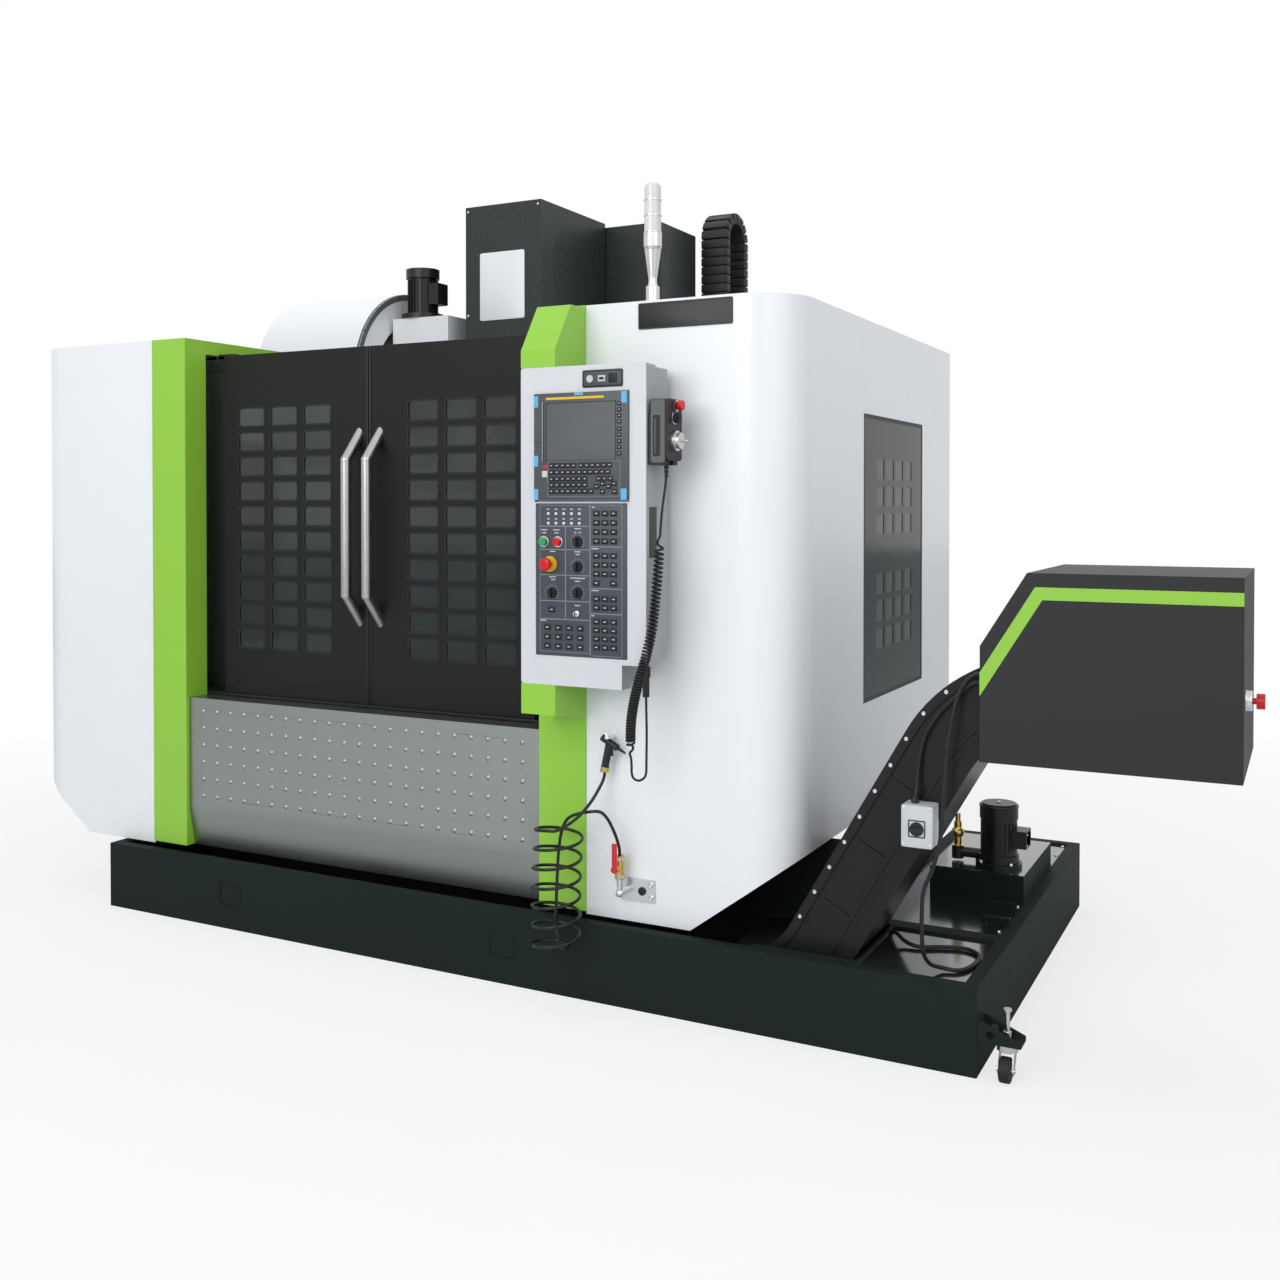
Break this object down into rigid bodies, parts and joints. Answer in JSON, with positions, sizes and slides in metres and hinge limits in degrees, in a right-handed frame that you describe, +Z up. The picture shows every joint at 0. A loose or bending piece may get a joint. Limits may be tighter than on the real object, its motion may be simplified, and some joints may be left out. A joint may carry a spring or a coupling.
{
  "type": "vertical machining centre",
  "caption": "Enclosed vertical milling machine with sliding front doors, cross-slide table, drum tool magazine, swivelling operator panel, coolant tank and rising chip conveyor.",
  "frame": {"origin": "centre of the machine's footprint on the floor, free cords left out", "axes": "+X to the operator's right, +Y from the front doors to the rear cabinet, +Z up"},
  "size_m": [4.512, 2.5659, 2.89],
  "materials": {
    "cast_iron": "painted casting, satin",
    "machine_grey": "satin grey enamel",
    "hammer_grey": "dark hammered enamel",
    "chain_plastic": "matt moulded links",
    "white_paint": "satin gloss powder coat",
    "green_paint": "satin gloss powder coat",
    "stainless": "brushed sheet",
    "black_paint": "satin black",
    "charcoal_paint": "fine textured powder coat",
    "tank_paint": "semi-gloss black",
    "conveyor_paint": "semi-gloss black",
    "dark_glass": "tinted safety sheet",
    "grey_plastic": "fine matt",
    "cable_rubber": "matt jacket",
    "hose_plastic": "glossy coil hose",
    "black_plastic": "matt moulding",
    "brass": "turned",
    "satin_steel": "satin",
    "ground_steel": "ground",
    "panel_white": "satin powder coat",
    "panel_black": "fine matt",
    "red_plastic": "gloss",
    "green_plastic": "gloss",
    "red_paint": "dipped vinyl",
    "wheel_rubber": "worn tread"
  },
  "bodies": {
    "frame": {"machine_bed": "cast_iron", "column": "cast_iron", "column_cap": "hammer_grey", "cable_carrier": "chain_plastic", "left_enclosure": "white_paint", "right_enclosure": "white_paint", "rear_enclosure": "white_paint", "front_pillars": "green_paint", "front_apron": "stainless", "door_frame": "black_paint", "side_windows": "dark_glass", "chip_pans": "stainless", "panel_brackets": "green_paint", "signal_tower": "grey_plastic", "chip_tank": "tank_paint", "coolant_tank": "tank_paint", "coolant_pump": "black_paint", "conveyor_trough": "conveyor_paint", "conveyor_hood": "conveyor_paint", "switch_box": "grey_plastic", "switch_cable": "cable_rubber", "magazine_cover": "white_paint", "cam_box": "machine_grey", "air_gun": "black_plastic", "air_hose": "hose_plastic", "valve_body": "brass"},
    "left_door_leaf": {"left_door": "charcoal_paint", "left_glass": "dark_glass", "left_handle": "satin_steel"},
    "right_door_leaf": {"right_door": "charcoal_paint", "right_glass": "dark_glass", "right_handle": "satin_steel"},
    "saddle_slide": {"saddle": "cast_iron"},
    "table_slide": {"table": "ground_steel"},
    "head_slide": {"headstock": "cast_iron", "head_cover": "hammer_grey"},
    "spindle_rotor": {"spindle": "ground_steel"},
    "carousel": {"magazine_disc": "satin_steel"},
    "changer_arm": {"tool_arm": "satin_steel"},
    "cabinet_leaf": {"cabinet_door": "white_paint"},
    "operator_box": {"control_box": "panel_white", "panel_units": "panel_black", "pendant_body": "black_plastic", "pendant_cord": "cable_rubber"},
    "estop": {"estop_button": "red_plastic"},
    "start_key": {"start_button": "green_plastic"},
    "stop_key": {"stop_button": "red_plastic"},
    "feed_dial": {"feed_knob": "black_plastic"},
    "spindle_dial": {"spindle_knob": "black_plastic"},
    "mode_dial": {"mode_knob": "black_plastic"},
    "rapid_dial": {"rapid_knob": "black_plastic"},
    "pulse_wheel": {"pendant_wheel": "satin_steel"},
    "axis_dial": {"pendant_knob": "black_plastic"},
    "pendant_stop": {"pendant_button": "red_plastic"},
    "conveyor_stop": {"conveyor_button": "red_plastic"},
    "isolator_dial": {"switch_knob": "black_plastic"},
    "air_lever": {"valve_lever": "red_paint"},
    "blow_trigger": {"gun_trigger": "black_plastic"},
    "caster_swivel_fork": {"caster_fork": "satin_steel"},
    "caster_roller": {"caster_wheel": "wheel_rubber"}
  },
  "joints": [
    {"name": "left_door_slide", "type": "slide", "parent": "frame", "child": "left_door_leaf", "axis": [-1, 0, 0], "range_m": [0, 0.66]},
    {"name": "right_door_slide", "type": "slide", "parent": "frame", "child": "right_door_leaf", "axis": [1, 0, 0], "range_m": [0, 0.66]},
    {"name": "y_axis", "type": "slide", "parent": "frame", "child": "saddle_slide", "axis": [0, 1, 0], "range_m": [-0.3, 0.3]},
    {"name": "x_axis", "type": "slide", "parent": "saddle_slide", "child": "table_slide", "axis": [1, 0, 0], "range_m": [-0.55, 0.55]},
    {"name": "z_axis", "type": "slide", "parent": "frame", "child": "head_slide", "axis": [0, 0, 1], "range_m": [-0.6, 0], "deforming": ["cable_carrier"]},
    {"name": "spindle_turn", "type": "hinge", "parent": "head_slide", "child": "spindle_rotor", "pos_m": [-0.621, 0.069, 1.8], "axis": [0, 0, 1], "continuous": true},
    {"name": "magazine_turn", "type": "hinge", "parent": "frame", "child": "carousel", "pos_m": [-1.671, 0.069, 2.085], "axis": [1, 0, 0], "continuous": true},
    {"name": "arm_swing", "type": "hinge", "parent": "frame", "child": "changer_arm", "pos_m": [-1.021, 0.069, 1.8], "axis": [0, 0, 1], "range_deg": [0, 90]},
    {"name": "cabinet_door_hinge", "type": "hinge", "parent": "frame", "child": "cabinet_leaf", "pos_m": [0.899, 1.2083, 1.2], "axis": [0, 0, -1], "range_deg": [0, 110]},
    {"name": "panel_swing", "type": "hinge", "parent": "frame", "child": "operator_box", "pos_m": [0.271, -1.149, 1.48], "axis": [0, 0, -1], "range_deg": [0, 75]},
    {"name": "estop_push", "type": "slide", "parent": "operator_box", "child": "estop", "axis": [0, 1, 0], "range_m": [0, 0.005]},
    {"name": "start_push", "type": "slide", "parent": "operator_box", "child": "start_key", "axis": [0, 1, 0], "range_m": [0, 0.004], "stiffness_N_per_m": 400},
    {"name": "stop_push", "type": "slide", "parent": "operator_box", "child": "stop_key", "axis": [0, 1, 0], "range_m": [0, 0.004], "stiffness_N_per_m": 400},
    {"name": "feed_turn", "type": "hinge", "parent": "operator_box", "child": "feed_dial", "pos_m": [0.409, -1.243, 1.431], "axis": [0, -1, 0], "range_deg": [-135, 135]},
    {"name": "spindle_override_turn", "type": "hinge", "parent": "operator_box", "child": "spindle_dial", "pos_m": [0.409, -1.243, 1.356], "axis": [0, -1, 0], "range_deg": [-110, 110]},
    {"name": "mode_turn", "type": "hinge", "parent": "operator_box", "child": "mode_dial", "pos_m": [0.32, -1.243, 1.276], "axis": [0, -1, 0], "range_deg": [-120, 120]},
    {"name": "rapid_turn", "type": "hinge", "parent": "operator_box", "child": "rapid_dial", "pos_m": [0.409, -1.243, 1.278], "axis": [0, -1, 0], "range_deg": [-60, 60]},
    {"name": "pulse_wheel_turn", "type": "hinge", "parent": "operator_box", "child": "pulse_wheel", "pos_m": [0.701, -1.181, 1.728], "axis": [1, 0, 0], "continuous": true},
    {"name": "axis_select_turn", "type": "hinge", "parent": "operator_box", "child": "axis_dial", "pos_m": [0.701, -1.181, 1.795], "axis": [1, 0, 0], "range_deg": [-60, 60]},
    {"name": "pendant_stop_push", "type": "slide", "parent": "operator_box", "child": "pendant_stop", "axis": [-1, 0, 0], "range_m": [0, 0.004]},
    {"name": "conveyor_stop_push", "type": "slide", "parent": "frame", "child": "conveyor_stop", "axis": [-1, 0, 0], "range_m": [0, 0.005]},
    {"name": "isolator_turn", "type": "hinge", "parent": "frame", "child": "isolator_dial", "pos_m": [1.397, -1.089, 0.6495], "axis": [0, -1, 0], "range_deg": [0, 90]},
    {"name": "air_lever_turn", "type": "hinge", "parent": "frame", "child": "air_lever", "pos_m": [0.469, -1.121, 0.425], "axis": [0, 1, 0], "range_deg": [0, 90]},
    {"name": "trigger_pull", "type": "hinge", "parent": "frame", "child": "blow_trigger", "pos_m": [0.431, -1.087, 0.77], "axis": [0, -1, 0], "range_deg": [0, 10], "stiffness_Nm_per_rad": 0.6},
    {"name": "caster_swivel", "type": "hinge", "parent": "frame", "child": "caster_swivel_fork", "pos_m": [1.641, -1.071, 0.1], "axis": [0, 0, 1], "continuous": true},
    {"name": "caster_roll", "type": "hinge", "parent": "caster_swivel_fork", "child": "caster_roller", "pos_m": [1.641, -1.095, 0.034], "axis": [1, 0, 0], "continuous": true}
  ]
}
